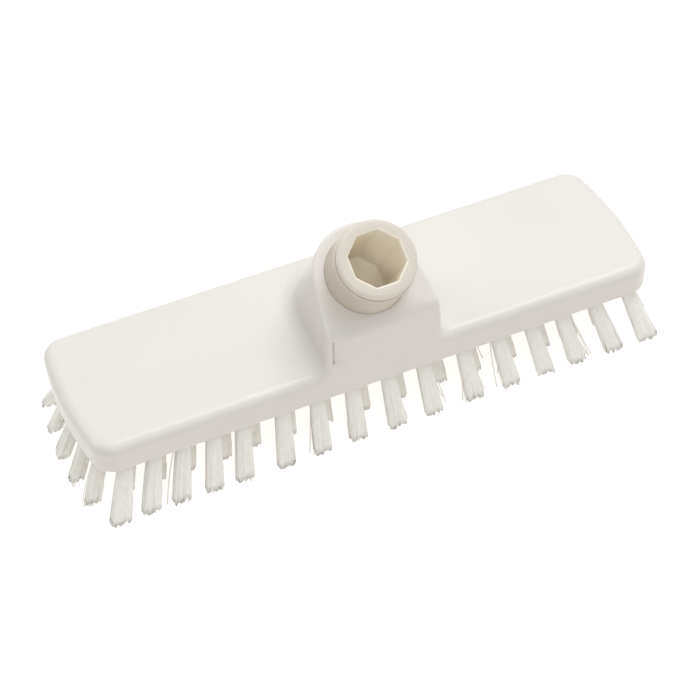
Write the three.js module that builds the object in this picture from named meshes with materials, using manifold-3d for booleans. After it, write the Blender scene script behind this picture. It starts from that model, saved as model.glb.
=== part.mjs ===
// A floor scrub brush: a moulded block with a leaning hood, a handle socket seated in the hood,
// and tufts of bristles held in the underside by flat wire anchors.
// Millimetres and degrees. +X runs along the block, -Y is the side that the handle leans to, and
// +Z is up. The bristles stand on Z = 0, and the origin is in the middle of the part's footprint.

import * as THREE from 'three';
import { mergeVertices } from 'three/addons/utils/BufferGeometryUtils.js';
import Module from 'manifold-3d';

const wasm = await Module();
wasm.setup();

// The gap left between two pieces that fit together.
const CLEARANCE = 0.3;

// The block.
const BLOCK_LENGTH = 280;
const BLOCK_DEPTH = 77;
const BLOCK_HEIGHT = 16;
const END_BOW = 4.2;
const CORNER_RADIUS = 8.5;
const TOP_EDGE_RADIUS = 5.5;
const BOTTOM_EDGE_RADIUS = 1.8;
const WALL_DRAFT = 2.5;
const UNDERSIDE_RIM = 3;

// The hood. Its sloped face is square to the handle's axis, and the rise is to where the axis crosses it.
const HANDLE_TILT = 33;
const HOOD_RISE = 35;
const HOOD_FRONT_LEDGE = 4.4;
const HOOD_WALL = 5.2;
const HOOD_FLARE = 8.5;
const HOOD_SIDE_DRAFT = 2.5;
const HOOD_BACK_LEAN = 28;
const HOOD_CORNER_RADIUS = 3;
const HOOD_EDGE_RADIUS = 1.6;
const HOOD_BASE_FILLET = 6;

// The handle socket. Lengths are along the handle's axis, and walls are outside the bore's corners.
const BORE_ACROSS_FLATS = 24.2;
const BORE_SIDES = 8;
const BORE_DEPTH = 42;
const BORE_CHAMFER = 0.7;
const SOCKET_FLOOR = 4;
const SOCKET_PROUD = 23.7;
const SEAT_WALL = 5.7;
const NECK_WALL = 4.1;
const BEAD_WALL = 5.6;
const RIM_WALL = 4.9;
const RIM_THICKNESS = 3.6;
const RIM_EDGE = 0.8;
const GROOVE_WIDTH = 1.2;
const GROOVE_DEPTH = 0.8;
const BEAD_WIDTH = 1.6;

// The bristles. Each tuft is a square of strands, and each strand is a square prism.
// Every second row has one tuft more, so that the rows are staggered. The tufts stand closer at the
// left end, and the first and last rows start a little farther in from it. The leans are those of
// the outermost tufts: the others lean less.
const TRIM_LENGTH = 29;
const TUFT_COLUMNS = 16;
const TUFT_ROWS = 6;
const TUFT_DRIFT = 5.2;
const OUTER_ROW_SHIFT = 2.2;
const END_EDGE = 4;
const SIDE_EDGE = 0.8;
const LEAN_ALONG = 16.5;
const LEAN_ACROSS = 16;
const END_LEAN = 4.5;
const STRANDS_PER_SIDE = 2;
const STRAND_WIDTH = 2.9;
const STRAND_GAP = 0.4;
const STRAND_TIP_WIDTH = 3.4;
const STRAND_TIP_GAP = 1;
const STRAND_ROOT = 1;
const FLOOR_CUT = 0.5;
const BACKING_THICKNESS = 8;
const BANKS = ['front_bristles', 'middle_bristles', 'back_bristles'];

// The anchors. Neighbouring anchors of a row share a thin web.
const ANCHOR_LENGTH = 7;
const ANCHOR_HEIGHT = 2.4;
const ANCHOR_THICKNESS = 1;
const ANCHOR_WEB = 1.2;
const STRIPS_PER_ROW = 4;

// How finely curves are faceted.
const BOW_STEPS = 8;
const CORNER_STEPS = 5;
const EDGE_STEPS = 4;
const HOOD_ROUND_STEPS = 20;
const SOCKET_SEGMENTS = 48;

// Slopes.
const tilt = THREE.MathUtils.degToRad(HANDLE_TILT);
const flare = THREE.MathUtils.degToRad(HOOD_FLARE);
const slopeOf = (degrees) => Math.tan(THREE.MathUtils.degToRad(degrees));

// Heights above the floor.
const undersideZ = TRIM_LENGTH;
const backingTopZ = undersideZ + BACKING_THICKNESS;
const pocketCeilingZ = backingTopZ + CLEARANCE;
const blockTopZ = undersideZ + BLOCK_HEIGHT;
const wallTopZ = blockTopZ - TOP_EDGE_RADIUS;

// The socket and the hood around it.
const boreRadius = BORE_ACROSS_FLATS / 2 / Math.cos(Math.PI / BORE_SIDES);
const seatRadius = boreRadius + SEAT_WALL;
const seatDepth = BORE_DEPTH + SOCKET_FLOOR - SOCKET_PROUD;
const hoodRoundRadius = seatRadius + HOOD_WALL;
const faceFront = -(seatRadius + HOOD_FRONT_LEDGE);
const frontY = -BLOCK_DEPTH / 2;
const faceCentre = new THREE.Vector3(0, frontY - faceFront * Math.cos(tilt), blockTopZ + HOOD_RISE);

// The bowed ends are arcs about a point on the block's middle line.
const bowRadius = (BLOCK_DEPTH ** 2 / 4 + END_BOW ** 2) / (2 * END_BOW);
const bowX = BLOCK_LENGTH / 2 - bowRadius;

// The grid of tufts.
const strandPitch = STRAND_WIDTH + STRAND_GAP;
const strandTipPitch = STRAND_TIP_WIDTH + STRAND_TIP_GAP;
const tuftHalfWidth = (STRANDS_PER_SIDE * strandPitch - STRAND_GAP) / 2;
const tuftReach = Math.max(tuftHalfWidth, ANCHOR_LENGTH / 2);
const backingInset = UNDERSIDE_RIM + CLEARANCE;
const rowSpan = BLOCK_DEPTH / 2 - backingInset - SIDE_EDGE - tuftReach;
const anchorBottomZ = backingTopZ - ANCHOR_WEB - ANCHOR_HEIGHT;

function clamp01(value) {
  return THREE.MathUtils.clamp(value, 0, 1);
}

// Turns a closed geometry into a solid for joining and cutting.
function toSolid(geometry) {
  const bare = geometry.clone();
  bare.deleteAttribute('normal');
  bare.deleteAttribute('uv');
  const merged = mergeVertices(bare);
  const triangles = [];
  for (let k = 0; k < merged.index.count; k += 3) {
    const [a, b, c] = [0, 1, 2].map((step) => merged.index.getX(k + step));
    if (a !== b && b !== c && c !== a) {
      triangles.push(a, b, c);
    }
  }
  return new wasm.Manifold(new wasm.Mesh({
    numProp: 3,
    vertProperties: new Float32Array(merged.attributes.position.array),
    triVerts: new Uint32Array(triangles),
  }));
}

function toGeometry(solid) {
  const mesh = solid.getMesh();
  const geometry = new THREE.BufferGeometry();
  geometry.setAttribute('position', new THREE.Float32BufferAttribute(mesh.vertProperties, 3));
  geometry.setIndex(new THREE.Uint32BufferAttribute(mesh.triVerts, 1));
  geometry.computeVertexNormals();
  return geometry;
}

// A closed skin over rings of equal count, each counter-clockwise from above, lowest ring first.
function loft(rings) {
  const count = rings[0].length;
  const index = [];
  for (let k = 0; k + 1 < rings.length; k += 1) {
    for (let i = 0; i < count; i += 1) {
      const j = (i + 1) % count;
      const [a, b] = [k * count + i, k * count + j];
      const [c, d] = [b + count, a + count];
      index.push(a, b, c, a, c, d);
    }
  }
  const lastRing = (rings.length - 1) * count;
  const cap = (ring) => THREE.ShapeUtils.triangulateShape(ring.map((p) => new THREE.Vector2(p.x, p.y)), []);
  for (const [a, b, c] of cap(rings[0])) {
    index.push(c, b, a);
  }
  for (const [a, b, c] of cap(rings[rings.length - 1])) {
    index.push(lastRing + a, lastRing + b, lastRing + c);
  }
  const geometry = new THREE.BufferGeometry();
  geometry.setAttribute('position', new THREE.Float32BufferAttribute(rings.flat().flatMap((p) => p.toArray()), 3));
  geometry.setIndex(index);
  return geometry;
}

// A box between two corners.
function boxBetween(low, high) {
  const size = new THREE.Vector3().subVectors(high, low);
  const middle = new THREE.Vector3().addVectors(low, high).multiplyScalar(0.5);
  return new THREE.BoxGeometry(size.x, size.y, size.z).translate(middle.x, middle.y, middle.z);
}

// Points of an arc, with the outward direction at each.
function arc(x, y, radius, from, to, steps) {
  return Array.from({ length: steps + 1 }, (_, k) => {
    const angle = from + (to - from) * k / steps;
    const normal = new THREE.Vector2(Math.cos(angle), Math.sin(angle));
    return { x: x + radius * normal.x, y: y + radius * normal.y, normal };
  });
}

// The block's plan, drawn in by an inset: two straight sides, two bowed ends and four round corners.
function blockRing(inset, z) {
  const bow = bowRadius - inset;
  const corner = Math.max(CORNER_RADIUS - inset, CLEARANCE);
  const cornerY = BLOCK_DEPTH / 2 - inset - corner;
  const cornerX = bowX + Math.sqrt((bow - corner) ** 2 - cornerY ** 2);
  const turn = Math.atan2(cornerY, cornerX - bowX);
  const half = Math.PI;
  const quarter = Math.PI / 2;
  return [
    ...arc(bowX, 0, bow, -turn, turn, BOW_STEPS).slice(1),
    ...arc(cornerX, cornerY, corner, turn, quarter, CORNER_STEPS).slice(1),
    ...arc(-cornerX, cornerY, corner, quarter, half - turn, CORNER_STEPS),
    ...arc(-bowX, 0, bow, half - turn, half + turn, BOW_STEPS).slice(1),
    ...arc(-cornerX, -cornerY, corner, half + turn, half + quarter, CORNER_STEPS).slice(1),
    ...arc(cornerX, -cornerY, corner, -quarter, -turn, CORNER_STEPS),
  ].map((p) => new THREE.Vector3(p.x, p.y, z));
}

// The block without its hood: drafted walls, a small lower edge and a round upper edge.
function blockBody() {
  const wallInset = (z) => slopeOf(WALL_DRAFT) * (wallTopZ - z);
  const lowerEdgeZ = undersideZ + BOTTOM_EDGE_RADIUS;
  const rings = [
    blockRing(wallInset(undersideZ) + BOTTOM_EDGE_RADIUS, undersideZ),
    blockRing(wallInset(lowerEdgeZ), lowerEdgeZ),
  ];
  for (let k = 0; k <= EDGE_STEPS; k += 1) {
    const angle = Math.PI / 2 * k / EDGE_STEPS;
    rings.push(blockRing(TOP_EDGE_RADIUS * (1 - Math.cos(angle)), wallTopZ + TOP_EDGE_RADIUS * Math.sin(angle)));
  }
  return toSolid(loft(rings));
}

// The outline of the hood's sloped face, drawn in by an inset. x runs along the block and y up the
// slope from the handle's axis: a round end about the axis, flared sides and a straight front edge.
function hoodFaceOutline(inset) {
  const round = hoodRoundRadius - inset;
  const corner = HOOD_CORNER_RADIUS - inset;
  const cornerY = faceFront + inset + corner;
  const cornerX = (round - corner - cornerY * Math.sin(flare)) / Math.cos(flare);
  return [
    ...arc(cornerX, cornerY, corner, -Math.PI / 2, flare, CORNER_STEPS),
    ...arc(0, 0, round, flare, Math.PI - flare, HOOD_ROUND_STEPS),
    ...arc(-cornerX, cornerY, corner, Math.PI - flare, Math.PI * 3 / 2, CORNER_STEPS),
  ];
}

// A point of the sloped face, lowered along the handle's axis.
function facePoint(p, lowered) {
  return new THREE.Vector3(p.x, p.y, -lowered).applyAxisAngle(new THREE.Vector3(1, 0, 0), tilt).add(faceCentre);
}

// The hood: its back leans with the handle, and its front wall stands upright, flush with the block's.
function hoodBody() {
  const outline = hoodFaceOutline(0);
  // A ring of the wall at a height, drawn out from the face by the draft and by the base fillet.
  const wallRing = (z, fillet) => outline.map((p) => {
    const top = facePoint(p, 0);
    const drop = top.z - z;
    const lean = clamp01(1 - p.y / faceFront) * slopeOf(HOOD_BACK_LEAN);
    const y = top.y + lean * drop;
    const fade = THREE.MathUtils.smoothstep(y, frontY, frontY + 2 * TOP_EDGE_RADIUS);
    const x = top.x + p.normal.x * (drop * slopeOf(HOOD_SIDE_DRAFT) + fillet * fade);
    return new THREE.Vector3(x, y + Math.max(p.normal.y, 0) * fillet * fade, z);
  });
  const rings = [wallRing(wallTopZ, HOOD_BASE_FILLET)];
  for (let k = 0; k <= EDGE_STEPS; k += 1) {
    const angle = Math.PI / 2 * k / EDGE_STEPS;
    const height = HOOD_BASE_FILLET * (1 - Math.cos(angle));
    rings.push(wallRing(blockTopZ + height, HOOD_BASE_FILLET * (1 - Math.sin(angle))));
  }
  for (let k = 0; k <= EDGE_STEPS; k += 1) {
    const angle = Math.PI / 2 * k / EDGE_STEPS;
    const edge = hoodFaceOutline(HOOD_EDGE_RADIUS * (1 - Math.cos(angle)));
    rings.push(edge.map((p) => facePoint(p, HOOD_EDGE_RADIUS * (1 - Math.sin(angle)))));
  }
  return toSolid(loft(rings));
}

// The block with its hood, the socket's seat, and the pocket that takes the bristles' backing.
function block() {
  const seatBottom = -seatDepth - CLEARANCE;
  const radius = seatRadius + CLEARANCE;
  const seat = new THREE.CylinderGeometry(radius, radius, SOCKET_PROUD - seatBottom, SOCKET_SEGMENTS);
  seat.rotateX(Math.PI / 2).translate(0, 0, (SOCKET_PROUD + seatBottom) / 2);
  seat.rotateX(tilt).translate(faceCentre.x, faceCentre.y, faceCentre.z);
  const pocket = loft([
    blockRing(UNDERSIDE_RIM, undersideZ - BACKING_THICKNESS),
    blockRing(UNDERSIDE_RIM, pocketCeilingZ),
  ]);
  return toGeometry(blockBody().add(hoodBody()).subtract(toSolid(seat)).subtract(toSolid(pocket)));
}

// The socket about its own axis, with the hood's sloped face at Z = 0: a straight seat, a tapered
// neck, a bead, a groove and a flanged rim, with a blind octagonal bore.
function handleSocket() {
  const rimBackZ = SOCKET_PROUD - RIM_THICKNESS;
  const grooveBackZ = rimBackZ - GROOVE_WIDTH;
  const beadBackZ = grooveBackZ - BEAD_WIDTH;
  const rimRadius = boreRadius + RIM_WALL;
  const beadRadius = boreRadius + BEAD_WALL;
  const profile = [
    [0, -seatDepth],
    [seatRadius, -seatDepth],
    [seatRadius, 0],
    [boreRadius + NECK_WALL, beadBackZ],
    [beadRadius, beadBackZ + BEAD_WIDTH / 2],
    [beadRadius, grooveBackZ],
    [rimRadius - GROOVE_DEPTH, grooveBackZ],
    [rimRadius - GROOVE_DEPTH, rimBackZ],
    [rimRadius, rimBackZ],
    [rimRadius, SOCKET_PROUD - RIM_EDGE],
    [rimRadius - RIM_EDGE, SOCKET_PROUD],
    [0, SOCKET_PROUD],
  ].map(([radius, z]) => new THREE.Vector2(radius, z));
  const sleeve = new THREE.LatheGeometry(profile, SOCKET_SEGMENTS).rotateX(Math.PI / 2);
  // A prism with the bore's sides, its flats along and across the block.
  const prism = (low, high, lowRadius, highRadius) => {
    const shape = new THREE.CylinderGeometry(highRadius, lowRadius, high - low, BORE_SIDES);
    return toSolid(shape.rotateX(Math.PI / 2).rotateZ(Math.PI / BORE_SIDES).translate(0, 0, (low + high) / 2));
  };
  const mouthTop = SOCKET_PROUD + BORE_CHAMFER;
  const bore = prism(SOCKET_PROUD - BORE_DEPTH, mouthTop, boreRadius, boreRadius);
  const mouth = prism(SOCKET_PROUD - BORE_CHAMFER, mouthTop, boreRadius, boreRadius + 2 * BORE_CHAMFER);
  return toGeometry(toSolid(sleeve).subtract(bore).subtract(mouth));
}

// The place of one of a number of things in a line, from -1 to 1.
function share(k, count) {
  return 2 * k / (count - 1) - 1;
}

// The tufts of a row: where each is rooted in the underside, and where its tip meets the floor.
function tuftsOfRow(row) {
  const across = share(row, TUFT_ROWS);
  const y = across * rowSpan;
  const span = bowX + Math.sqrt(bowRadius ** 2 - y ** 2) - backingInset - END_EDGE - tuftReach;
  const shift = Math.abs(across) === 1 ? OUTER_ROW_SHIFT : 0;
  const count = TUFT_COLUMNS + row % 2;
  return Array.from({ length: count }, (_, k) => {
    const along = share(k, count);
    const x = shift + along * (span - shift) - TUFT_DRIFT * (1 - along ** 2) * (1 - along) ** 2;
    const endLean = Math.abs(along) === 1 ? END_LEAN * (1 - across ** 2) : 0;
    const tipX = x + along * TRIM_LENGTH * slopeOf(LEAN_ALONG + endLean);
    const tipY = y + across * TRIM_LENGTH * slopeOf(LEAN_ACROSS);
    return { root: new THREE.Vector2(x, y), tip: new THREE.Vector2(tipX, tipY) };
  });
}

// One strand: a square prism from its tip, which runs past the floor, to its root in the backing.
function strand(tip, root, stepX, stepY) {
  const square = (centre, z, pitch, width) => [[-1, -1], [1, -1], [1, 1], [-1, 1]].map(([sideX, sideY]) => {
    const x = centre.x + stepX * pitch + sideX * width / 2;
    const y = centre.y + stepY * pitch + sideY * width / 2;
    return new THREE.Vector3(x, y, z);
  });
  return toSolid(loft([
    square(tip, -FLOOR_CUT, strandTipPitch, STRAND_TIP_WIDTH),
    square(root, undersideZ + STRAND_ROOT, strandPitch, STRAND_WIDTH),
  ]));
}

// The strands of one tuft.
function tuftStrands({ tip, root }) {
  const steps = Array.from({ length: STRANDS_PER_SIDE }, (_, k) => k - (STRANDS_PER_SIDE - 1) / 2);
  return steps.flatMap((stepX) => steps.map((stepY) => strand(tip, root, stepX, stepY)));
}

// A bank of rows, fused to its own slice of the block's underside, with a groove for each row's anchors.
function bristleBank(bank) {
  const firstRow = Math.round(bank * TUFT_ROWS / BANKS.length);
  const nextBankRow = Math.round((bank + 1) * TUFT_ROWS / BANKS.length);
  const seam = (row) => share(row - 0.5, TUFT_ROWS) * rowSpan;
  const lowY = bank === 0 ? -BLOCK_DEPTH : seam(firstRow) + CLEARANCE / 2;
  const highY = bank === BANKS.length - 1 ? BLOCK_DEPTH : seam(nextBankRow) - CLEARANCE / 2;
  const field = loft([blockRing(backingInset, undersideZ), blockRing(backingInset, backingTopZ)]);
  const window = boxBetween(
    new THREE.Vector3(-BLOCK_LENGTH, lowY, undersideZ - BACKING_THICKNESS),
    new THREE.Vector3(BLOCK_LENGTH, highY, backingTopZ + BACKING_THICKNESS),
  );
  let solid = toSolid(field).intersect(toSolid(window));
  for (let row = firstRow; row < nextBankRow; row += 1) {
    const y = share(row, TUFT_ROWS) * rowSpan;
    const halfWidth = ANCHOR_THICKNESS / 2 + CLEARANCE;
    const groove = boxBetween(
      new THREE.Vector3(-BLOCK_LENGTH, y - halfWidth, anchorBottomZ - CLEARANCE),
      new THREE.Vector3(BLOCK_LENGTH, y + halfWidth, backingTopZ + BACKING_THICKNESS),
    );
    solid = solid.subtract(toSolid(groove));
    solid = tuftsOfRow(row).flatMap(tuftStrands).reduce((joined, piece) => joined.add(piece), solid);
  }
  const belowFloor = boxBetween(
    new THREE.Vector3(-BLOCK_LENGTH, -BLOCK_DEPTH, -TRIM_LENGTH),
    new THREE.Vector3(BLOCK_LENGTH, BLOCK_DEPTH, 0),
  );
  return toGeometry(solid.subtract(toSolid(belowFloor)));
}

// Anchors of neighbouring tufts: a thin web with a blade hanging down into each tuft's hole.
// The outline is drawn along the block, with the web's top edge at Y = 0.
function anchorStrip(tufts) {
  const half = ANCHOR_LENGTH / 2;
  const bladeY = -ANCHOR_WEB - ANCHOR_HEIGHT;
  const outline = new THREE.Shape();
  outline.moveTo(tufts[tufts.length - 1].root.x + half, 0);
  outline.lineTo(tufts[0].root.x - half, 0);
  tufts.forEach(({ root }, k) => {
    if (k > 0) {
      outline.lineTo(root.x - half, -ANCHOR_WEB);
    }
    outline.lineTo(root.x - half, bladeY);
    outline.lineTo(root.x + half, bladeY);
    if (k < tufts.length - 1) {
      outline.lineTo(root.x + half, -ANCHOR_WEB);
    }
  });
  const geometry = new THREE.ExtrudeGeometry(outline, { depth: ANCHOR_THICKNESS, bevelEnabled: false });
  return geometry.translate(0, 0, -ANCHOR_THICKNESS / 2);
}

const blockPlastic = { color: 0xf0efeb, roughness: 0.25, metalness: 0 };
const socketPlastic = { color: 0xe6dcd4, roughness: 0.35, metalness: 0 };
const bristlePlastic = { color: 0xe2e1db, roughness: 0.5, metalness: 0 };
const anchorSteel = { color: 0xb9bcc0, roughness: 0.35, metalness: 1 };

function named(name, geometry, finish) {
  const mesh = new THREE.Mesh(geometry, new THREE.MeshStandardMaterial(finish));
  mesh.name = name;
  return mesh;
}

const brush = new THREE.Group();
brush.add(named('block', block(), blockPlastic));

const socketSeat = new THREE.Group();
socketSeat.position.copy(faceCentre);
socketSeat.rotation.x = tilt;
socketSeat.add(named('handle_socket', handleSocket(), socketPlastic));
brush.add(socketSeat);

BANKS.forEach((name, bank) => brush.add(named(name, bristleBank(bank), bristlePlastic)));

for (let row = 0; row < TUFT_ROWS; row += 1) {
  const tufts = tuftsOfRow(row);
  for (let strip = 0; strip < STRIPS_PER_ROW; strip += 1) {
    const first = Math.round(strip * tufts.length / STRIPS_PER_ROW);
    const next = Math.round((strip + 1) * tufts.length / STRIPS_PER_ROW);
    const name = `row_${row + 1}_anchors_${strip + 1}`;
    const anchors = named(name, anchorStrip(tufts.slice(first, next)), anchorSteel);
    anchors.rotation.x = Math.PI / 2;
    anchors.position.set(0, tufts[0].root.y, backingTopZ);
    brush.add(anchors);
  }
}

// The origin goes to the middle of the footprint.
const footprint = new THREE.Box3().setFromObject(brush, true).getCenter(new THREE.Vector3());
brush.position.set(-footprint.x, -footprint.y, 0);

export default brush;
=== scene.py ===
"""A white floor scrub brush: a glossy moulded block with a leaning hood, the handle socket pressed
into the hood, and splayed rows of bristle tufts. Lengths are written in millimetres and turned into
metres where a mesh is made. +X runs along the block, -Y is the side that the handle leans to."""
import math

import bpy
import numpy as np
from mathutils import Matrix, Vector


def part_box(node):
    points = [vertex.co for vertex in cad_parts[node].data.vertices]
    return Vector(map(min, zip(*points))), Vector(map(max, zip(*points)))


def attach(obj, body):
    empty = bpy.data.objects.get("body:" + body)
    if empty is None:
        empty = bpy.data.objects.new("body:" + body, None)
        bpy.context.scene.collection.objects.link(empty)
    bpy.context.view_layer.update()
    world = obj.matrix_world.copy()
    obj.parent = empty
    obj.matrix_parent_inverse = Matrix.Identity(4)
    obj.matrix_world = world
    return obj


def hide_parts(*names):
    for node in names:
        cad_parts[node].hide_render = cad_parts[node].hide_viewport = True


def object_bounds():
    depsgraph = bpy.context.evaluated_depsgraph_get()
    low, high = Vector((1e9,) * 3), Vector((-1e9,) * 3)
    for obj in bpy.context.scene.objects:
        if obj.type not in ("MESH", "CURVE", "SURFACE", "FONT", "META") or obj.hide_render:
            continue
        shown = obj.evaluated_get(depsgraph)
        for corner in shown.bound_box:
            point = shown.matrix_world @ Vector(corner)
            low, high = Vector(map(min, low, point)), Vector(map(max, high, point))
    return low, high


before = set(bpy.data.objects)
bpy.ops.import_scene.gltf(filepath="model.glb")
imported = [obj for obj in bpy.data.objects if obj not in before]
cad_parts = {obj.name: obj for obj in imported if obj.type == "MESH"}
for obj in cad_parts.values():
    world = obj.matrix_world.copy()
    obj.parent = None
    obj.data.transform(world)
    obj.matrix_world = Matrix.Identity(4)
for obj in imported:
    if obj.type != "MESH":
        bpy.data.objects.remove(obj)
cad_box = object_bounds()

MM = 0.001

# The block. Its top edge is rounded a little less than in the solids.
BLOCK_LENGTH = 280.0
BLOCK_DEPTH = 77.0
BLOCK_HEIGHT = 16.0
END_BOW = 4.2
CORNER_RADIUS = 8.5
TOP_EDGE_RADIUS = 4.8
BOTTOM_EDGE_RADIUS = 1.8
WALL_DRAFT = 2.5

# The hood.
HANDLE_TILT = 33.0
HOOD_RISE = 35.0
HOOD_FRONT_LEDGE = 4.4
HOOD_WALL = 5.2
HOOD_FLARE = 8.5
HOOD_SIDE_DRAFT = 2.5
HOOD_BACK_LEAN = 28.0
HOOD_FRONT_EDGE_RADIUS = 4.0
HOOD_UPRIGHT_RADIUS = 2.2
HOOD_EDGE_RADIUS = 1.6
HOOD_BASE_FILLET = 6.0
# Where the front edge's rounding turns into the upright edges', out from the middle and up from the block.
HOOD_EDGE_TURN = (16.0, 25.0)
HOOD_EDGE_CLIMB = 9.0
# A lip along the hood's left upright edge. The front wall falls back behind it, with a crease at its
# foot, and comes forward again farther along.
LIP_X = -25.4
LIP_DEPTH = 1.1
LIP_STEP = (-0.3, 0.2)
LIP_FADE = 10.0
LIP_ENDS = (51.0, 63.0)
LIP_FOOT_FADE = (-3.0, 2.0)
LIP_CREASE_X = 0.4
LIP_CREASE_RADIUS = 0.75
LIP_ROUNDING = 0.4

# The handle socket.
BORE_ACROSS_FLATS = 24.2
BORE_SIDES = 8
BORE_DEPTH = 42.0
BORE_CHAMFER = 0.7
SOCKET_FLOOR = 4.0
SOCKET_PROUD = 23.7
SEAT_WALL = 5.7
SEAT_GAP = 0.1
NECK_WALL = 4.1
BEAD_WALL = 5.6
RIM_WALL = 4.9
RIM_THICKNESS = 3.6
RIM_ROUNDING = 1.6
GROOVE_WIDTH = 1.2
GROOVE_DEPTH = 0.8
BEAD_WIDTH = 1.6
FOOT_RING_HEIGHT = 1.1
FOOT_RING_STEP = 0.45

# The tufts.
TRIM_LENGTH = 29.0
TUFT_COLUMNS = 16
TUFT_ROWS = 6
TUFT_DRIFT = 5.2
OUTER_ROW_SHIFT = 2.2
END_MARGIN = 10.8
SIDE_MARGIN = 7.6
LEAN_ALONG = 16.5
LEAN_ACROSS = 16.0
END_LEAN = 4.5
FILAMENTS = 42
FILAMENT_RADIUS = 0.34
STRAY_RADIUS = 0.28
CORE_SIDES = 48
ROOT_RADIUS = 3.4
TIP_RADIUS = 4.3
ROOT_FLATNESS = 0.85
TIP_FLATNESS = 0.5
TIP_OUT = 1.7
END_FULLNESS = 0.14
TUFT_SEAT = 0.8
TUFT_WANDER = 0.3
# The packed middle of a tuft: where its rings lie, how deep its flutes and notches are, how ragged its end.
CORE_SHARES = (0.0, 0.3, 0.62, 0.88, 1.0, 1.0)
FLUTE_DEPTH = 0.09
NOTCH_DEPTH = 0.15
NOTCH_SHARE = 0.1
RAGGED_LEAST = 0.3
RAGGED_MOST = 3.2
RAGGED_NOISE = 0.4
RAGGED_POWER = 1.6
HOLLOW_DEPTH = 1.2
HOLLOW_WIDTH = 0.6
# The loose ends, which are cut in clumps.
LOOSE_SHARES = (0.72, 0.86, 1.0)
LOOSE_SPREAD = 0.92
LOOSE_SCATTER = 0.15
CLUMP_COLUMNS = 7
CLUMP_BANKS = 2
CLUMP_CUT = 3.0
CUT_NOISE = 0.35
CUT_MOST = 4
STRAY_FOOT = 0.45
STRAY_BEND = 0.6
BRISTLE_SEED = 41
# How far along the block each tuft of the two front rows stands from its even place.
SETTLED = {
    0: (0.0, 1.2, 1.0, 0.0, -2.4, -0.5, -1.2, -1.7, -2.2, -2.5, 0.0, 0.0, 0.0, -1.0, -0.5, 0.3),
    1: (0.0, 1.1, 1.4, 0.8, 1.0, -1.7, -1.5, -1.9, -1.1, -1.1, 1.5, 1.3, 2.1, 2.6, 0.0, 0.5, 0.8),
}
# Row and place of the end tufts that have sprung outwards, and how far their tips have moved.
SPRUNG = {(3, 0): (-1.5, -1.0), (5, 0): (-3.5, 0.0)}
# Row, place in the row, how far the end has sprung from the tuft's own end, and how short it is cut.
STRAYS = [
    (0, 2, -7.2, 0.5, 1.0), (0, 6, -6.6, 0.0, 2.0), (0, 8, 5.2, -0.5, 2.5), (0, 9, 6.6, 0.8, 3.5),
    (0, 9, 5.2, 1.5, 7.0), (0, 10, -5.2, -1.0, 0.6), (0, 10, -6.4, 0.0, 1.2), (0, 10, 5.0, 0.5, 3.0),
    (0, 11, -7.0, 0.6, 1.5), (0, 11, -6.0, 2.0, 9.0), (0, 13, 6.0, 0.0, 1.0), (0, 13, 7.2, 0.6, 1.4),
    (0, 13, 5.2, 1.0, 2.2), (0, 15, 5.4, 0.0, 1.0), (0, 15, -5.0, -0.5, 2.0), (1, 0, -5.8, -1.0, 0.8),
    (1, 0, -4.8, -2.0, 1.6), (2, 0, -3.4, -4.0, 0.8), (2, 0, -3.0, -5.0, 1.4), (1, 11, 5.6, 0.0, 6.0),
    (4, 0, -3.2, -3.0, 1.2), (5, 3, -5.5, 2.0, 2.0), (5, 9, 5.0, 2.5, 1.4), (5, 15, 6.0, 1.0, 1.0),
    (3, 16, 4.0, 3.0, 1.2),
]

TILT = math.radians(HANDLE_TILT)
UNDERSIDE = TRIM_LENGTH
TUFT_TOP = UNDERSIDE + TUFT_SEAT
BLOCK_TOP = UNDERSIDE + BLOCK_HEIGHT
WALL_TOP = BLOCK_TOP - TOP_EDGE_RADIUS
BORE_RADIUS = BORE_ACROSS_FLATS / 2 / math.cos(math.pi / BORE_SIDES)
SEAT_RADIUS = BORE_RADIUS + SEAT_WALL
SEAT_DEPTH = BORE_DEPTH + SOCKET_FLOOR - SOCKET_PROUD
HOOD_ROUND = SEAT_RADIUS + HOOD_WALL
FACE_FRONT = -(SEAT_RADIUS + HOOD_FRONT_LEDGE)
FRONT_Y = -BLOCK_DEPTH / 2
FACE_Y = FRONT_Y - FACE_FRONT * math.cos(TILT)
FACE_Z = BLOCK_TOP + HOOD_RISE
BOW_RADIUS = (BLOCK_DEPTH ** 2 / 4 + END_BOW ** 2) / (2 * END_BOW)
BOW_X = BLOCK_LENGTH / 2 - BOW_RADIUS

block_low, block_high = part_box("block")
BLOCK_MIDDLE = Vector((0, (block_low[1] + block_high[1]) / 2, 0))


def slope(degrees):
    return math.tan(math.radians(degrees))


def smoothstep(low, high, value):
    share = np.clip((value - low) / (high - low), 0, 1)
    return share * share * (3 - 2 * share)


# Camera and stage

CAMERA_AZIMUTH = -23.6
CAMERA_ELEVATION = 45.05
CAMERA_ROLL = -1.5
CAMERA_DISTANCE = 1.1004
FOCAL_PIXELS = 2388.0
IMAGE_PIXELS = 700.0
AIM_DROP_PIXELS = 24.7
AIM_BELOW_TOP = 15.0
SENSOR_WIDTH = 36.0

# Name, place, aim, width, watts and colour of each lamp, in metres.
LAMPS = (
    ("key", (0.4, 0.15, 1.2), (0, 0, 0.03), 0.8, 6.2, (0.985, 1.0, 0.99)),
    ("left_fill", (-1.0, 0.4, 0.9), (0, 0, 0.05), 0.9, 2.8, (1.0, 0.98, 0.965)),
    ("front_fill", (-0.25, -1.0, 1.05), (0, 0, 0.03), 0.8, 2.9, (1.0, 0.95, 0.91)),
)
BORE_LIGHT_FROM = (-0.37, -0.54, 0.455)
BORE_LIGHT_WATTS = 7.5
BORE_LIGHT_SIZE = 0.004
BORE_LIGHT_SPREAD = 1.5
BORE_LIGHT_BLEND = 0.4

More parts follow.
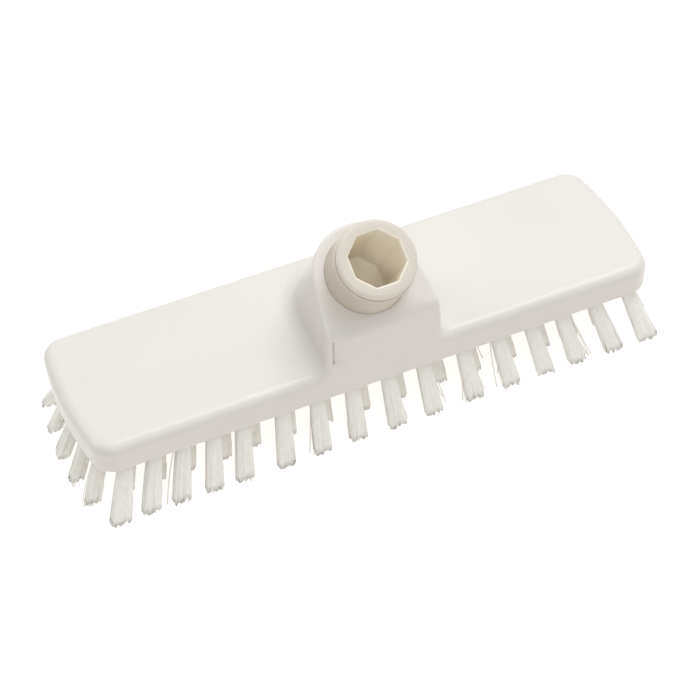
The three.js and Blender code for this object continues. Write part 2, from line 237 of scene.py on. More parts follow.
# The room is brightest overhead and a little to the right. Its strengths are the least and the most.
ROOM_BRIGHTEST = (0.2, 0.12, 0.96)
ROOM_COLOUR = (0.975, 0.995, 1.0, 1)
ROOM_STRENGTH = (0.03, 0.98)
WHITE = (1, 1, 1, 1)

# The floor glows a little as it lights the part, and more where it is seen.
FLOOR_REACH = 3.0
FLOOR_DROP = 0.0002
FLOOR_PAINT = (0.5, 0.495, 0.485, 1)
FLOOR_GLOW = (1, 0.965, 0.935, 1)
FLOOR_GLOW_STRENGTH = (0.6, 0.8)


def set_camera():
    azimuth, elevation, roll = (math.radians(v) for v in (CAMERA_AZIMUTH, CAMERA_ELEVATION, CAMERA_ROLL))
    level = math.cos(elevation)
    back = Vector((math.sin(azimuth) * level, -math.cos(azimuth) * level, math.sin(elevation)))
    right = Vector((math.cos(azimuth), math.sin(azimuth), 0))
    up = back.cross(right)
    c, s = math.cos(roll), math.sin(roll)
    right, up = right * c + up * s, up * c - right * s
    eye = BLOCK_MIDDLE + Vector((0, 0, (BLOCK_TOP - AIM_BELOW_TOP) * MM)) + back * CAMERA_DISTANCE
    back = (back + up * (AIM_DROP_PIXELS / FOCAL_PIXELS)).normalized()
    up = back.cross(right).normalized()
    right = up.cross(back)
    data = bpy.data.cameras.new("photo_camera")
    data.sensor_width = SENSOR_WIDTH
    data.lens = FOCAL_PIXELS / IMAGE_PIXELS * SENSOR_WIDTH
    data.clip_end = 20
    camera = bpy.data.objects.new("photo_camera", data)
    turn = Matrix((right, up, back)).transposed()
    camera.matrix_world = Matrix.Translation(eye) @ turn.to_4x4()
    bpy.context.scene.collection.objects.link(camera)
    bpy.context.scene.camera = camera


def add_area_light(name, place, aim, size, watts, colour):
    data = bpy.data.lights.new(name, "AREA")
    data.shape = "DISK"
    data.size = size
    data.energy = watts
    data.color = colour
    light = bpy.data.objects.new(name, data)
    light.location = place
    light.rotation_euler = (Vector(aim) - Vector(place)).to_track_quat("-Z", "Y").to_euler()
    bpy.context.scene.collection.objects.link(light)


def add_bore_light():
    """A narrow lamp at the front left that shines slantwise through the mouth onto the bore's wall."""
    data = bpy.data.lights.new("bore_light", "SPOT")
    data.energy = BORE_LIGHT_WATTS
    data.shadow_soft_size = BORE_LIGHT_SIZE
    data.spot_size = math.radians(BORE_LIGHT_SPREAD)
    data.spot_blend = BORE_LIGHT_BLEND
    mouth = Vector(along_axis((0, 0, SOCKET_PROUD))) * MM + BLOCK_MIDDLE
    lamp = bpy.data.objects.new("bore_light", data)
    lamp.location = mouth + Vector(BORE_LIGHT_FROM)
    lamp.rotation_euler = (mouth - lamp.location).to_track_quat("-Z", "Y").to_euler()
    bpy.context.scene.collection.objects.link(lamp)


def add_math(tree, operation, first, second):
    node = tree.nodes.new("ShaderNodeMath")
    node.operation = operation
    for socket, value in zip(node.inputs, (first, second)):
        if isinstance(value, (int, float)):
            socket.default_value = value
        else:
            tree.links.new(value, socket)
    return node.outputs[0]


def add_range(tree, value, low, high, to_low, to_high):
    """Maps a value from one range to another. The last two are numbers or sockets."""
    node = tree.nodes.new("ShaderNodeMapRange")
    tree.links.new(value, node.inputs["Value"])
    for label, end in (("From Min", low), ("From Max", high), ("To Min", to_low), ("To Max", to_high)):
        if isinstance(end, (int, float)):
            node.inputs[label].default_value = end
        else:
            tree.links.new(end, node.inputs[label])
    return node.outputs["Result"]


def seen_directly(tree):
    """One for rays that the camera, a reflection or a see-through surface sends, and zero for light."""
    path = tree.nodes.new("ShaderNodeLightPath")
    mirrored = add_math(tree, "MAXIMUM", path.outputs["Is Glossy Ray"], path.outputs["Is Transmission Ray"])
    return add_math(tree, "MAXIMUM", path.outputs["Is Camera Ray"], mirrored)


def set_world():
    world = bpy.data.worlds.new("studio")
    bpy.context.scene.world = world
    world.use_nodes = True
    nodes, links = world.node_tree.nodes, world.node_tree.links
    nodes.clear()
    out = nodes.new("ShaderNodeOutputWorld")
    mix = nodes.new("ShaderNodeMixShader")
    direction = nodes.new("ShaderNodeTexCoord")
    towards = nodes.new("ShaderNodeVectorMath")
    towards.operation = "DOT_PRODUCT"
    links.new(direction.outputs["Generated"], towards.inputs[0])
    towards.inputs[1].default_value = Vector(ROOM_BRIGHTEST).normalized()
    room = nodes.new("ShaderNodeBackground")
    room.inputs["Color"].default_value = ROOM_COLOUR
    strength = add_range(world.node_tree, towards.outputs["Value"], 0.0, 1.0, *ROOM_STRENGTH)
    links.new(strength, room.inputs["Strength"])
    seen = nodes.new("ShaderNodeBackground")
    seen.inputs["Color"].default_value = WHITE
    links.new(seen_directly(world.node_tree), mix.inputs["Fac"])
    links.new(room.outputs["Background"], mix.inputs[1])
    links.new(seen.outputs["Background"], mix.inputs[2])
    links.new(mix.outputs["Shader"], out.inputs["Surface"])


def set_floor():
    reach = FLOOR_REACH
    corners = [(-reach, -reach, 0), (reach, -reach, 0), (reach, reach, 0), (-reach, reach, 0)]
    mesh = bpy.data.meshes.new("studio_floor")
    mesh.from_pydata(corners, [], [(0, 1, 2, 3)])
    floor = bpy.data.objects.new("studio_floor", mesh)
    floor.location.z = -FLOOR_DROP
    bpy.context.scene.collection.objects.link(floor)
    material = bpy.data.materials.new("pale_floor")
    material.use_nodes = True
    nodes, links = material.node_tree.nodes, material.node_tree.links
    nodes.clear()
    out = nodes.new("ShaderNodeOutputMaterial")
    paint = nodes.new("ShaderNodeBsdfDiffuse")
    paint.inputs["Color"].default_value = FLOOR_PAINT
    glow = nodes.new("ShaderNodeEmission")
    glow.inputs["Color"].default_value = FLOOR_GLOW
    seen = seen_directly(material.node_tree)
    strength = add_range(material.node_tree, seen, 0.0, 1.0, *FLOOR_GLOW_STRENGTH)
    both = nodes.new("ShaderNodeAddShader")
    links.new(strength, glow.inputs["Strength"])
    links.new(paint.outputs[0], both.inputs[0])
    links.new(glow.outputs[0], both.inputs[1])
    links.new(both.outputs[0], out.inputs["Surface"])
    mesh.materials.append(material)


def set_stage():
    set_camera()
    set_world()
    set_floor()
    for lamp in LAMPS:
        add_area_light(*lamp)
    add_bore_light()
    bpy.context.scene.view_settings.view_transform = "Standard"


# Materials

def new_group(name, inputs, outputs):
    """A shader node group, with its sockets made and its input and output nodes placed."""
    group = bpy.data.node_groups.new(name, "ShaderNodeTree")
    for kind, sockets in (("INPUT", inputs), ("OUTPUT", outputs)):
        for label, socket_type in sockets:
            group.interface.new_socket(label, in_out=kind, socket_type=socket_type)
    return group, group.nodes.new("NodeGroupInput"), group.nodes.new("NodeGroupOutput")


def add_noise(tree, scale_from, detail, stretch=None):
    """Noise in object space. scale_from is a number or a socket, stretch scales the three axes."""
    place = tree.nodes.new("ShaderNodeTexCoord")
    noise = tree.nodes.new("ShaderNodeTexNoise")
    noise.inputs["Detail"].default_value = detail
    source = place.outputs["Object"]
    if stretch:
        mapping = tree.nodes.new("ShaderNodeMapping")
        mapping.inputs["Scale"].default_value = stretch
        tree.links.new(source, mapping.inputs["Vector"])
        source = mapping.outputs["Vector"]
    tree.links.new(source, noise.inputs["Vector"])
    if isinstance(scale_from, (int, float)):
        noise.inputs["Scale"].default_value = scale_from
    else:
        tree.links.new(scale_from, noise.inputs["Scale"])
    return noise.outputs["Fac"]


def add_mix(tree, share, first, second):
    node = tree.nodes.new("ShaderNodeMix")
    node.data_type = "RGBA"
    tree.links.new(share, node.inputs["Factor"])
    for label, colour in (("A", first), ("B", second)):
        socket = next(s for s in node.inputs if s.name == label and s.type == "RGBA")
        if isinstance(colour, tuple):
            socket.default_value = colour
        else:
            tree.links.new(colour, socket)
    return next(s for s in node.outputs if s.type == "RGBA")


def make_moulding_group():
    """Moulded plastic: faint clouds of a second tone, a gloss that varies, and a fine orange-peel skin."""
    group, given, result = new_group(
        "Moulded Skin",
        [("Colour", "NodeSocketColor"), ("Cloud Colour", "NodeSocketColor"), ("Cloud Scale", "NodeSocketFloat"),
         ("Skin Scale", "NodeSocketFloat"), ("Gloss Low", "NodeSocketFloat"), ("Gloss High", "NodeSocketFloat")],
        [("Colour", "NodeSocketColor"), ("Roughness", "NodeSocketFloat"), ("Height", "NodeSocketFloat")],
    )
    clouds = add_range(group, add_noise(group, given.outputs["Cloud Scale"], 3.0), 0.35, 0.68, 0.0, 1.0)
    colour = add_mix(group, clouds, given.outputs["Colour"], given.outputs["Cloud Colour"])
    group.links.new(colour, result.inputs["Colour"])
    haze = add_noise(group, add_math(group, "MULTIPLY", given.outputs["Cloud Scale"], 4.5), 4.0)
    gloss = add_range(group, haze, 0.3, 0.7, given.outputs["Gloss Low"], given.outputs["Gloss High"])
    group.links.new(gloss, result.inputs["Roughness"])
    group.links.new(add_noise(group, given.outputs["Skin Scale"], 2.0), result.inputs["Height"])
    return group


def make_drawn_group():
    """Drawn filament or wire: streaks along Z, so across the height of the piece they change slowly."""
    group, given, result = new_group(
        "Drawn Streaks",
        [("Colour", "NodeSocketColor"), ("Streak Colour", "NodeSocketColor"), ("Streak Scale", "NodeSocketFloat"),
         ("Gloss Low", "NodeSocketFloat"), ("Gloss High", "NodeSocketFloat")],
        [("Colour", "NodeSocketColor"), ("Roughness", "NodeSocketFloat"), ("Height", "NodeSocketFloat")],
    )
    streaks = add_noise(group, given.outputs["Streak Scale"], 3.0, stretch=(1.0, 1.0, 0.06))
    share = add_range(group, streaks, 0.32, 0.7, 0.0, 1.0)
    colour = add_mix(group, share, given.outputs["Colour"], given.outputs["Streak Colour"])
    group.links.new(colour, result.inputs["Colour"])
    gloss = add_range(group, streaks, 0.3, 0.7, given.outputs["Gloss Low"], given.outputs["Gloss High"])
    group.links.new(gloss, result.inputs["Roughness"])
    group.links.new(streaks, result.inputs["Height"])
    return group


def new_material(name, group, values, bump_height):
    """A Principled material whose colour, gloss and skin come from a group."""
    material = bpy.data.materials.new(name)
    material.use_nodes = True
    tree = material.node_tree
    shader = tree.nodes["Principled BSDF"]
    skin = tree.nodes.new("ShaderNodeGroup")
    skin.node_tree = group
    for label, value in values.items():
        skin.inputs[label].default_value = value
    bump = tree.nodes.new("ShaderNodeBump")
    bump.inputs["Strength"].default_value = 1.0
    bump.inputs["Distance"].default_value = bump_height
    tree.links.new(skin.outputs["Colour"], shader.inputs["Base Color"])
    tree.links.new(skin.outputs["Roughness"], shader.inputs["Roughness"])
    tree.links.new(skin.outputs["Height"], bump.inputs["Height"])
    tree.links.new(bump.outputs["Normal"], shader.inputs["Normal"])
    return material, shader


def srgb(red, green, blue):
    """A colour as it is seen, written from 0 to 255, as the shader wants it."""
    def linear(value):
        return value / 255 / 12.92 if value <= 10 else ((value / 255 + 0.055) / 1.055) ** 2.4
    return linear(red), linear(green), linear(blue), 1.0


# Bump heights, in metres.
SKIN_HEIGHT = 0.000003
FILAMENT_STREAK_HEIGHT = 0.00003
WIRE_STREAK_HEIGHT = 0.00002
# The sleeve's parts: colour, second tone, and how far light travels inside. The flank and the bore are darker and
# paler copies of the rim's plastic, painted shade and painted light.
SLEEVE_PARTS = {
    "rim": ((215, 208, 199), (211, 203, 193), 0.004),
    # Painted shade: the rim's plastic made darker to stand in for the shadow on the tube below the rim.
    "shade_painted_flank": ((205, 195, 183), (201, 190, 177), 0.004),
    # Painted light: the rim's plastic made paler to stand in for light inside the bore.
    "bore": ((245, 238, 224), (242, 233, 217), 0.01),
}


def make_materials():
    moulding, drawn = make_moulding_group(), make_drawn_group()
    block, shader = new_material("glossy_white_moulding", moulding, {
        "Colour": srgb(224, 220, 215), "Cloud Colour": srgb(222, 217, 212), "Cloud Scale": 22.0,
        "Skin Scale": 150.0, "Gloss Low": 0.3, "Gloss High": 0.38}, SKIN_HEIGHT)
    shader.inputs["Specular IOR Level"].default_value = 0.5

    sleeve = {}
    for part, (colour, cloud, depth) in SLEEVE_PARTS.items():
        sleeve[part], shader = new_material("warm_white_" + part, moulding, {
            "Colour": srgb(*colour), "Cloud Colour": srgb(*cloud), "Cloud Scale": 40.0,
            "Skin Scale": 200.0, "Gloss Low": 0.3, "Gloss High": 0.42}, SKIN_HEIGHT)
        shader.inputs["Subsurface Weight"].default_value = 0.3
        shader.inputs["Subsurface Radius"].default_value = (1.0, 0.92, 0.74)
        shader.inputs["Subsurface Scale"].default_value = depth

    bristle, shader = new_material("white_filament", drawn, {
        "Colour": srgb(250, 249, 245), "Streak Colour": srgb(244, 242, 235), "Streak Scale": 700.0,
        "Gloss Low": 0.38, "Gloss High": 0.55}, FILAMENT_STREAK_HEIGHT)
    shader.inputs["Sheen Weight"].default_value = 0.3
    shader.inputs["Sheen Roughness"].default_value = 0.6

    wire, shader = new_material("flat_wire", drawn, {
        "Colour": srgb(190, 193, 197), "Streak Colour": srgb(160, 162, 166), "Streak Scale": 1500.0,
        "Gloss Low": 0.28, "Gloss High": 0.45}, WIRE_STREAK_HEIGHT)
    shader.inputs["Metallic"].default_value = 1.0
    return {"block": block, "sleeve": sleeve, "bristle": bristle, "wire": wire}


# Meshes

BLOCK_SHARP_ANGLE = 40
SOCKET_SHARP_ANGLE = 50


def add_piece(name, points, faces, material, replaced):
    """A smooth piece from points in millimetres about the block's middle, standing for CAD nodes."""
    mesh = bpy.data.meshes.new(name)
    mesh.from_pydata((np.asarray(points) * MM + np.array(BLOCK_MIDDLE)).tolist(), [], faces)
    mesh.validate()
    mesh.polygons.foreach_set("use_smooth", np.ones(len(mesh.polygons), dtype=bool))
    mesh.materials.append(material)
    piece = bpy.data.objects.new(name, mesh)
    bpy.context.scene.collection.objects.link(piece)
    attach(piece, "root")
    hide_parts(*replaced)
    return piece


def rounded_meet(a, b, radius):
    """Inside both a and b, with the edge between them rounded off."""
    corner = np.hypot(np.maximum(a + radius, 0), np.maximum(b + radius, 0))
    return np.minimum(-radius, np.maximum(a, b)) + corner


def filleted_join(a, b, radius):
    """Inside a or b, with the corner between them filled by a fillet."""
    corner = np.hypot(np.maximum(radius - a, 0), np.maximum(radius - b, 0))
    return np.maximum(radius, np.minimum(a, b)) - corner


def hood_wall(x, y, z):
    """How far a point lies outside the hood's walls, of which the back leans and the sides draw in."""
    back_slope = slope(HOOD_BACK_LEAN)
    c, s = math.cos(TILT), math.sin(TILT)
    below = FACE_Z - z
    ahead = y - FACE_Y
    # The place up the slope of the face's point that the wall comes down from.
    behind_axis = (ahead - back_slope * below) / (c + back_slope * s)
    a = -back_slope * s / FACE_FRONT
    b = c + back_slope * s - back_slope * below / FACE_FRONT
    root = np.sqrt(np.maximum(b * b - 4 * a * (back_slope * below - ahead), 0))
    before_axis = (root - b) / (2 * a)
    before_axis = np.where(ahead < FACE_FRONT * c, ahead / c, before_axis)
    up = np.where(behind_axis > 0, behind_axis, before_axis)
    drop = np.maximum(below + up * s, 0)
    side = np.abs(x) * (1 - drop * slope(HOOD_SIDE_DRAFT) / HOOD_ROUND)
    flare = math.radians(HOOD_FLARE)
    flat = side * math.cos(flare) + up * math.sin(flare) - HOOD_ROUND
    round_end = np.hypot(side, up) - HOOD_ROUND
    return np.where(up * math.cos(flare) > side * math.sin(flare), round_end, flat)


def block_field(x, y, z):
    """How far a point lies outside the block with its hood, in millimetres."""
    bow = np.hypot(np.abs(x) - BOW_X, y) - BOW_RADIUS
    draft = slope(WALL_DRAFT) * np.maximum(WALL_TOP - z, 0)
    over_top = z - BLOCK_TOP
    plan = rounded_meet(bow, np.abs(y) + FRONT_Y, CORNER_RADIUS) + draft
    plain = rounded_meet(plan, over_top, TOP_EDGE_RADIUS)

    open_front = rounded_meet(np.maximum(bow, y + FRONT_Y) + draft, over_top, TOP_EDGE_RADIUS)
    off_face = (z - FACE_Z) * math.cos(TILT) - (y - FACE_Y) * math.sin(TILT)
    hood = rounded_meet(hood_wall(x, y, z), off_face, HOOD_EDGE_RADIUS)
    joined = filleted_join(open_front, hood, HOOD_BASE_FILLET)
    upright = smoothstep(*HOOD_EDGE_TURN, np.abs(x))
    hood_edge = HOOD_FRONT_EDGE_RADIUS + (HOOD_UPRIGHT_RADIUS - HOOD_FRONT_EDGE_RADIUS) * upright
    climb = smoothstep(BLOCK_TOP, BLOCK_TOP + HOOD_EDGE_CLIMB, z)
    edge = TOP_EDGE_RADIUS + (hood_edge - TOP_EDGE_RADIUS) * climb
    past_lip = smoothstep(LIP_X + LIP_STEP[0], LIP_X + LIP_STEP[1], x)
    behind_lip = past_lip * (1 - smoothstep(LIP_X, LIP_X + LIP_FADE, x))
    above_foot = smoothstep(LIP_ENDS[0] + LIP_FOOT_FADE[0], LIP_ENDS[0] + LIP_FOOT_FADE[1], z)
    recess = LIP_DEPTH * behind_lip * above_foot
    carrying = rounded_meet(joined, FRONT_Y - y + draft + recess, edge)
    past_end = z - np.clip(z, *LIP_ENDS)
    off_crease = (x - LIP_X - LIP_CREASE_X) ** 2 + (y - FRONT_Y - LIP_DEPTH) ** 2 + past_end ** 2
    carrying = rounded_meet(carrying, LIP_CREASE_RADIUS - np.sqrt(off_crease), LIP_ROUNDING)

    body = np.where(np.abs(x) > HOOD_ROUND * 2, plain, carrying)
    return rounded_meet(body, UNDERSIDE - z, BOTTOM_EDGE_RADIUS)


def skin_over(field, xs, ys, zs):
    """Quads over the surface where a field is zero, with a point in each grid cell that it crosses."""
    axes = (xs, ys, zs)
    values = field(xs[:, None, None], ys[None, :, None], zs[None, None, :])
    within = values < 0
    cells = tuple(n - 1 for n in values.shape)
    total, count = np.zeros(cells + (3,)), np.zeros(cells)
    crossings = []
    for axis in range(3):
        low = [slice(None)] * 3
        high = [slice(None)] * 3
        low[axis], high[axis] = slice(None, -1), slice(1, None)
        low, high = tuple(low), tuple(high)
        crossed = np.argwhere(within[low] != within[high])
        start = tuple(crossed.T)
        end = list(start)
        end[axis] = end[axis] + 1
        first, last = values[start], values[tuple(end)]
        place = np.stack([axes[k][start[k]] for k in range(3)], axis=1)
        step = axes[axis][end[axis]] - axes[axis][start[axis]]
        place[:, axis] += step * first / (first - last)
        crossings.append((axis, crossed, within[start]))
        others = [k for k in range(3) if k != axis]
        for da in (0, 1):
            for db in (0, 1):
                cell = crossed.copy()
                cell[:, others[0]] -= da
                cell[:, others[1]] -= db
                np.add.at(total, tuple(cell.T), place)
                np.add.at(count, tuple(cell.T), 1)
    number = np.full(cells, -1)
    used = count > 0
    number[used] = np.arange(used.sum())
    points = total[used] / count[used][:, None]
    quads = []
    for axis, crossed, starts_within in crossings:
        others = [(axis + 1) % 3, (axis + 2) % 3]
        corners = []
        for da, db in ((1, 1), (0, 1), (0, 0), (1, 0)):
            cell = crossed.copy()
            cell[:, others[0]] -= da
            cell[:, others[1]] -= db
            corners.append(number[tuple(cell.T)])
        quad = np.stack(corners, axis=1)
        quad[~starts_within] = quad[~starts_within][:, ::-1]
        quads.append(quad)
    # The points are drawn onto the surface itself, which the grid only comes near.
    passes, nudge, least_lean, most_pull = 4, 0.02, 0.2, 0.3
    steps = nudge * np.eye(3)
    for _ in range(passes):
        here = field(*points.T)
        rises = [field(*(points + step).T) - field(*(points - step).T) for step in steps]
        lean = np.stack(rises, axis=1) / (2 * nudge)
        pull = here / np.maximum((lean ** 2).sum(axis=1), least_lean)
        points -= np.clip(pull, -most_pull, most_pull)[:, None] * lean
    return points, np.concatenate(quads)


def graded(*stops):
    """Grid places from (start, step) stops, each step held up to the next start, the last one unused."""
    places = [np.linspace(a, b, max(int(round((b - a) / step)), 1), endpoint=False)
              for (a, step), (b, _) in zip(stops, stops[1:])]
    return np.concatenate(places + [[stops[-1][0]]])


def along_axis(points):
    """Points about the handle's axis, with the sloped face at z = 0, put into the block's place."""
    turn = np.array(Matrix.Rotation(TILT, 3, "X"))
    return np.asarray(points) @ turn.T + np.array((0, FACE_Y, FACE_Z))


def cut_seat(piece):
    """Cuts the socket's round seat into the hood."""
    sides = 128
    angles = np.arange(sides) * 2 * math.pi / sides
    ring = np.stack([np.cos(angles), np.sin(angles)], axis=1) * (SEAT_RADIUS + SEAT_GAP)
    heights = (-SEAT_DEPTH - SEAT_GAP, SOCKET_PROUD)
    rings = [np.column_stack([ring, np.full(sides, z)]) for z in heights]
    points = along_axis(np.concatenate(rings)) * MM + np.array(BLOCK_MIDDLE)
    faces = [[k, (k + 1) % sides, sides + (k + 1) % sides, sides + k] for k in range(sides)]
    faces += [list(range(sides))[::-1], list(range(sides, 2 * sides))]
    mesh = bpy.data.meshes.new("seat_cutter")
    mesh.from_pydata(points.tolist(), [], faces)
    cutter = bpy.data.objects.new("seat_cutter", mesh)
    bpy.context.scene.collection.objects.link(cutter)
    cut = piece.modifiers.new("seat", "BOOLEAN")
    cut.operation = "DIFFERENCE"
    cut.solver = "EXACT"
    cut.object = cutter
    graph = bpy.context.evaluated_depsgraph_get()
    shaped = bpy.data.meshes.new_from_object(piece.evaluated_get(graph))
    piece.modifiers.remove(cut)
    piece.data = shaped
    shaped.polygons.foreach_set("use_smooth", np.ones(len(shaped.polygons), dtype=bool))
    shaped.set_sharp_from_angle(angle=math.radians(BLOCK_SHARP_ANGLE))
    bpy.data.objects.remove(cutter)


def make_block(material):
    # The grid is fine at the ends and around the hood, finest at the lip, and plain along the straight.
    finest, fine, plain = 0.25, 0.6, 2.0
    end, end_zone, hood_zone, lip_zone, over = BLOCK_LENGTH / 2, 15, 50, 2, 1
    xs = graded((-end - over, fine), (-end + end_zone, plain), (-hood_zone, fine), (LIP_X - lip_zone, finest),
                (LIP_X + lip_zone, fine), (hood_zone, plain), (end - end_zone, fine), (end + over, fine))
    ys = graded((FRONT_Y - over, finest), (FRONT_Y + lip_zone, fine), (-FRONT_Y + over, fine))
    zs = graded((UNDERSIDE - over, fine), (FACE_Z + HOOD_ROUND, fine))
    points, quads = skin_over(block_field, xs, ys, zs)
    piece = add_piece("scrub_block", points, quads.tolist(), material, ["block"])
    cut_seat(piece)


def softened(corners, steps=5):
    """A profile of (radius, height, rounding) corners, with each corner rounded off."""
    path = []
    for k, (radius, height, rounding) in enumerate(corners):
        here = np.array((radius, height))
        if rounding <= 0 or k in (0, len(corners) - 1):
            path.append(here)
            continue
        before = np.array(corners[k - 1][:2]) - here
        after = np.array(corners[k + 1][:2]) - here
        to_before, to_after = np.linalg.norm(before), np.linalg.norm(after)
        # A rounding takes up less than half of a side.
        reach = min(rounding, 0.45 * to_before, 0.45 * to_after)
        first = here + before / to_before * reach
        last = here + after / to_after * reach
        for t in np.linspace(0, 1, steps):
            path.append((1 - t) ** 2 * first + 2 * t * (1 - t) * here + t ** 2 * last)
    return path


def make_socket(sleeve):
    """The sleeve, turned in rings from its foot up to the rim and then down the octagonal bore."""
    # Places along a side of the octagon, closest at its corners, which are eased a little.
    shares = np.array([-1, -0.95, -0.88, -0.76, -0.6, -0.42, -0.22, 0, 0.22, 0.42, 0.6, 0.76, 0.88, 0.95])
    corner_ease = 0.12
    half_side = BORE_ACROSS_FLATS / 2 * math.tan(math.pi / BORE_SIDES)
    flat_x = np.full(len(shares), BORE_ACROSS_FLATS / 2)
    flat_x[0] -= corner_ease
    angles, reach = [], []
    for side in range(BORE_SIDES):
        turn = 2 * math.pi * side / BORE_SIDES
        angles.extend(np.arctan2(shares * half_side, flat_x) + turn)
        reach.extend(np.hypot(shares * half_side, flat_x))
    angles, reach = np.array(angles), np.array(reach)
    circle = np.stack([np.cos(angles), np.sin(angles)], axis=1)
    count = len(angles)

    rim_back = SOCKET_PROUD - RIM_THICKNESS
    groove_back = rim_back - GROOVE_WIDTH
    bead_back = groove_back - BEAD_WIDTH
    rim_radius = BORE_RADIUS + RIM_WALL
    bead_radius = BORE_RADIUS + BEAD_WALL
    neck_foot = SEAT_RADIUS - FOOT_RING_STEP
    mouth = BORE_RADIUS + BORE_CHAMFER
    outside = softened([
        (SEAT_RADIUS - 1.0, -SEAT_DEPTH, 0), (SEAT_RADIUS, -SEAT_DEPTH + 1.0, 0.3),
        (SEAT_RADIUS, FOOT_RING_HEIGHT, 0.35),
        (neck_foot, FOOT_RING_HEIGHT + 0.5, 0.4), (BORE_RADIUS + NECK_WALL, bead_back, 0.8),
        (bead_radius, bead_back + BEAD_WIDTH * 0.45, 0.5), (bead_radius, groove_back, 0.4),
        (rim_radius - GROOVE_DEPTH, groove_back, 0.15), (rim_radius - GROOVE_DEPTH, rim_back, 0.15),
        (rim_radius, rim_back, 0.3), (rim_radius, SOCKET_PROUD, RIM_ROUNDING),
        (mouth + 0.6, SOCKET_PROUD, 0),
    ])
    rings = [np.column_stack([circle * radius, np.full(count, height)]) for radius, height in outside]
    # How far the bore is widened, and at what depth. The mouth's chamfer rounds over into the bore, and
    # the bore ends in a flat floor with a small fillet.
    inside = [(BORE_CHAMFER, 0.0), (BORE_CHAMFER * 0.72, 0.06), (BORE_CHAMFER * 0.3, 0.45),
              (0.06, 0.85), (0.0, 1.2), (0.0, 8.0), (0.0, 20.0),
              (0.0, BORE_DEPTH - 1.0), (-0.3, BORE_DEPTH - 0.3), (-1.0, BORE_DEPTH)]
    for grown, depth in inside:
        scale = 1 + grown / BORE_RADIUS
        height = np.full(count, SOCKET_PROUD - depth)
        rings.append(np.column_stack([circle * (reach * scale)[:, None], height]))
    points = np.concatenate(rings)
    faces = []
    for ring in range(len(rings) - 1):
        for k in range(count):
            a, b = ring * count + k, ring * count + (k + 1) % count
            faces.append([a, b, b + count, a + count])
    faces.append(list(range(count))[::-1])
    last = (len(rings) - 1) * count
    faces.append(list(range(last, last + count)))
    piece = add_piece("socket_sleeve", along_axis(points), faces, sleeve["shade_painted_flank"],
                      ["handle_socket"])
    piece.data.set_sharp_from_angle(angle=math.radians(SOCKET_SHARP_ANGLE))
    piece.data.materials.append(sleeve["rim"])
    piece.data.materials.append(sleeve["bore"])
    # The rim starts at the groove, and the bore below the mouth's edge. Foot and floor come last. The flank band
    # takes the painted shade, and the bore the painted light.
    shade_painted_flank, rim, bore = 0, 1, 2
    bands = [rim if point[1] > groove_back - 0.2 else shade_painted_flank for point in outside] + [bore] * (len(inside) - 1)
    places = np.append(np.repeat(bands, count), (shade_painted_flank, bore)).astype(np.int32)
    piece.data.polygons.foreach_set("material_index", places)


def tufts_of_row(row):
    """Root, tip and fullness of each tuft of a row, rooted and leaning much as the solids have them."""
    across = 2 * row / (TUFT_ROWS - 1) - 1
    y = across * (BLOCK_DEPTH / 2 - SIDE_MARGIN)
    span = BOW_X + math.sqrt(BOW_RADIUS ** 2 - y ** 2) - END_MARGIN
    shift = OUTER_ROW_SHIFT if abs(across) == 1 else 0
    count = TUFT_COLUMNS + row % 2
    tufts = []
    for k in range(count):
        along = 2 * k / (count - 1) - 1
        x = shift + along * (span - shift) - TUFT_DRIFT * (1 - along ** 2) * (1 - along) ** 2
        if row in SETTLED:
            x += SETTLED[row][k]
        end_lean = END_LEAN * (1 - across ** 2) if abs(along) == 1 else 0
        tip_x = x + along * TRIM_LENGTH * slope(LEAN_ALONG + end_lean)
        tip_y = y + across * (TRIM_LENGTH * slope(LEAN_ACROSS) + TIP_OUT)
        tip = np.array((tip_x, tip_y)) + SPRUNG.get((row, k), (0, 0))
        # The outer rows' end tufts are fuller than the rest, and the inner rows' slimmer.
        fullness = END_FULLNESS if abs(across) == 1 else -END_FULLNESS
        tufts.append((np.array((x, y)), tip, 1 + fullness * abs(along) ** 10))
    return tufts


def make_core(rng, root, end, width):
    """Rings of a tuft's packed middle: round at the root, a flat ribbon with a jagged edge at the tip."""
    shares = np.array(CORE_SHARES)[:, None]
    angles = np.arange(CORE_SIDES) * 2 * math.pi / CORE_SIDES
    # The rings turn from round to boxy on the way down.
    power = 2 + 3 * shares
    boxy = (np.abs(np.cos(angles)) ** power + np.abs(np.sin(angles)) ** power) ** (-1 / power)
    flutes = rng.normal(0, FLUTE_DEPTH, CORE_SIDES) - NOTCH_DEPTH * (rng.random(CORE_SIDES) < NOTCH_SHARE)
    radius = (ROOT_RADIUS + (TIP_RADIUS * width - ROOT_RADIUS) * shares) * boxy
    radius = radius + flutes * (0.6 + 0.4 * shares)
    radius[-1] *= HOLLOW_WIDTH
    teeth = np.repeat(rng.random(CORE_SIDES // 2) ** RAGGED_POWER, 2)
    ragged = RAGGED_LEAST + RAGGED_MOST * teeth + rng.uniform(0, RAGGED_NOISE, CORE_SIDES)
    z = TUFT_TOP + (ragged - TUFT_TOP) * shares
    z[-1] = ragged.mean() + HOLLOW_DEPTH
    flatness = ROOT_FLATNESS + (TIP_FLATNESS - ROOT_FLATNESS) * shares
    x = root[0] + (end[0] - root[0]) * shares + radius * np.cos(angles)
    y = root[1] + (end[1] - root[1]) * shares + radius * np.sin(angles) * flatness
    return np.stack([x, y, z], axis=-1)[None]


def make_filaments(foot, end, cut, shares, radius, bend):
    """Rings of thin round filaments, at the given shares of the way from their feet to their ends."""
    sides = 5
    centre = foot[:, None] + (end - foot)[:, None] * shares[None, :, None]
    centre = centre + bend[:, None] * (4 * shares * (1 - shares))[None, :, None]
    z = TUFT_TOP + (cut[:, None] - TUFT_TOP) * shares
    angles = np.arange(sides) * 2 * math.pi / sides
    ring = np.stack([np.cos(angles), np.sin(angles)], axis=1) * radius
    flat = centre[:, :, None, :] + ring
    heights = np.broadcast_to(z[:, :, None, None], flat.shape[:3] + (1,))
    return np.concatenate([flat, heights], axis=3)


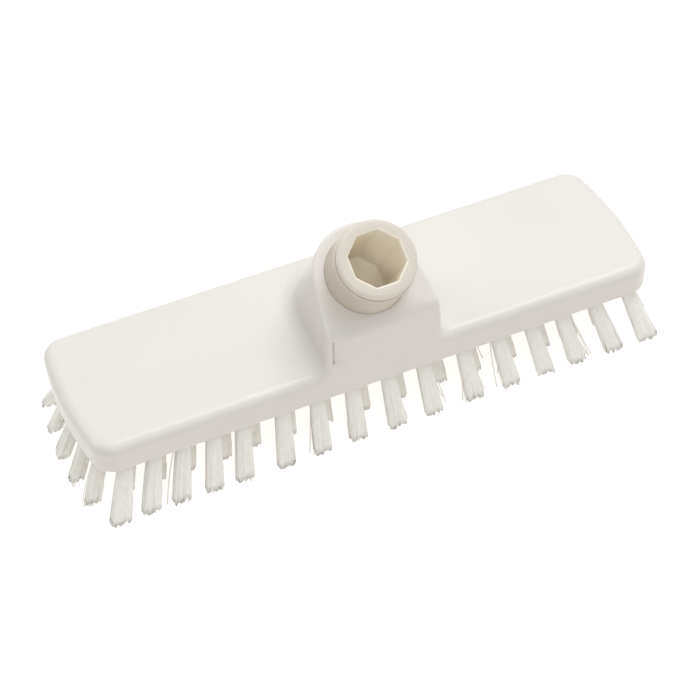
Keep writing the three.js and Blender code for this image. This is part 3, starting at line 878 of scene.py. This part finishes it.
def make_tuft(rng, root, tip, width):
    """A tuft's packed middle and the loose ends of its filaments, which are cut in clumps."""
    end = tip + rng.normal(0, TUFT_WANDER, 2)
    core = make_core(rng, root, end, width)
    spots = rng.uniform(-LOOSE_SPREAD, LOOSE_SPREAD, (FILAMENTS, 2))
    feet = root + spots * (ROOT_RADIUS, ROOT_RADIUS * ROOT_FLATNESS)
    ends = end + spots * (TIP_RADIUS * width, TIP_RADIUS * TIP_FLATNESS)
    ends = ends + rng.normal(0, LOOSE_SCATTER, (FILAMENTS, 2))
    column = ((spots[:, 0] + 1) * (CLUMP_COLUMNS / 2)).astype(int)
    bank = (spots[:, 1] > 0).astype(int)
    clumps = CLUMP_CUT * rng.random((CLUMP_COLUMNS, CLUMP_BANKS)) ** RAGGED_POWER
    cut = np.clip(clumps[column, bank] + rng.normal(0, CUT_NOISE, FILAMENTS), 0, CUT_MOST)
    bend = rng.normal(0, LOOSE_SCATTER, (FILAMENTS, 2))
    return [core, make_filaments(feet, ends, cut, np.array(LOOSE_SHARES), FILAMENT_RADIUS, bend)]


def make_strays(rng, tufts, row):
    """Single filaments that have sprung away from their tufts."""
    strays = [(tufts[k], np.array((dx, dy)), cut) for r, k, dx, dy, cut in STRAYS if r == row]
    if not strays:
        return []
    feet = np.array([root + away * STRAY_FOOT for (root, _, _), away, _ in strays])
    ends = np.array([tip + away for (_, tip, _), away, _ in strays])
    cut = np.array([cut for _, _, cut in strays])
    bend = rng.normal(0, STRAY_BEND, (len(strays), 2))
    return [make_filaments(feet, ends, cut, np.linspace(0, 1, 7), STRAY_RADIUS, bend)]


def make_bristles(material):
    rng = np.random.default_rng(BRISTLE_SEED)
    shift = np.array(BLOCK_MIDDLE) / MM
    low, high = (np.array(corner) / MM - shift for corner in cad_box)
    banks = (("front_tufts", "front_bristles", (0, 1)), ("middle_tufts", "middle_bristles", (2, 3)),
             ("back_tufts", "back_bristles", (4, 5)))
    for name, node, rows in banks:
        points, faces = [], []
        for row in rows:
            tufts = tufts_of_row(row)
            parts = [part for tuft in tufts for part in make_tuft(rng, *tuft)] + make_strays(rng, tufts, row)
            for tubes in parts:
                number = len(points) + np.arange(np.prod(tubes.shape[:3])).reshape(tubes.shape[:3])
                upper, lower = number[:, :-1], number[:, 1:]
                around = [upper, lower, np.roll(lower, -1, axis=2), np.roll(upper, -1, axis=2)]
                faces += np.stack(around, axis=-1).reshape(-1, 4).tolist()
                faces += number[:, -1, ::-1].tolist() + number[:, 0].tolist()
                points += tubes.reshape(-1, 3).tolist()
        add_piece(name, np.clip(points, low, high), faces, material, [node])


set_stage()
materials = make_materials()
make_block(materials["block"])
make_socket(materials["sleeve"])
make_bristles(materials["bristle"])
for name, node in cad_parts.items():
    if "anchors" in name:
        node.data.materials.clear()
        node.data.materials.append(materials["wire"])
